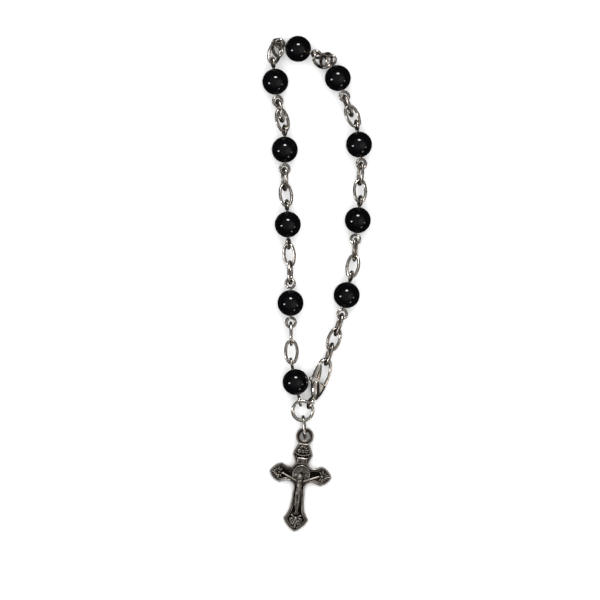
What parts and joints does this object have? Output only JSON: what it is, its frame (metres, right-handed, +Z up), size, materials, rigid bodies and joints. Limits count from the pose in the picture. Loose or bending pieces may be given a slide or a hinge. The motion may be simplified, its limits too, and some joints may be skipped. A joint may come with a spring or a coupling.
{
  "type": "rosary bracelet",
  "caption": "Rosary bracelet with round glossy black beads on silver-tone eye pins and oval links, a lobster clasp and an antique silver crucifix.",
  "frame": {"origin": "middle of the footprint, on the surface that the bracelet lies on", "axes": "+Z up from the surface, +Y away from the crucifix towards the top bead, +X to the right seen from above"},
  "size_m": [0.0254, 0.1145, 0.006],
  "materials": {
    "bead_glass": "opaque black, high gloss",
    "chain_silver": "slightly darkened silver-tone wire",
    "bright_silver": "bright silver-tone",
    "crucifix_silver": "antique silver, dark in the recesses"
  },
  "bodies": {
    "bracelet": {"bead_1": "bead_glass", "bead_2": "bead_glass", "bead_3": "bead_glass", "bead_4": "bead_glass", "bead_5": "bead_glass", "bead_6": "bead_glass", "bead_7": "bead_glass", "bead_8": "bead_glass", "bead_9": "bead_glass", "bead_10": "bead_glass", "eye_pin_1": "chain_silver", "eye_pin_2": "chain_silver", "eye_pin_3": "chain_silver", "eye_pin_4": "chain_silver", "eye_pin_5": "chain_silver", "eye_pin_6": "chain_silver", "eye_pin_7": "chain_silver", "eye_pin_8": "chain_silver", "eye_pin_9": "chain_silver", "eye_pin_10": "chain_silver", "link_1": "chain_silver", "link_2": "chain_silver", "link_3": "chain_silver", "link_4": "chain_silver", "link_5": "chain_silver", "link_6": "chain_silver", "link_7": "chain_silver", "link_8": "chain_silver", "link_9": "chain_silver", "link_10": "chain_silver", "link_11": "chain_silver", "link_12": "chain_silver", "link_13": "chain_silver", "link_14": "chain_silver", "link_15": "chain_silver", "link_16": "chain_silver", "link_17": "chain_silver", "link_18": "chain_silver", "link_19": "chain_silver", "link_20": "chain_silver", "link_21": "chain_silver", "round_ring": "bright_silver", "pendant_ring": "chain_silver", "clasp_body": "bright_silver", "crucifix": "crucifix_silver"},
    "lever": {"clasp_lever": "bright_silver"}
  },
  "joints": [
    {"name": "lever_pivot", "type": "hinge", "parent": "bracelet", "child": "lever", "pos_m": [-0.0009, -0.02356, 0.00252], "axis": [-0.3214, 0.117, -0.9397], "range_deg": [0, 17], "stiffness_Nm_per_rad": 0.02, "springref_deg": -5.73}
  ]
}
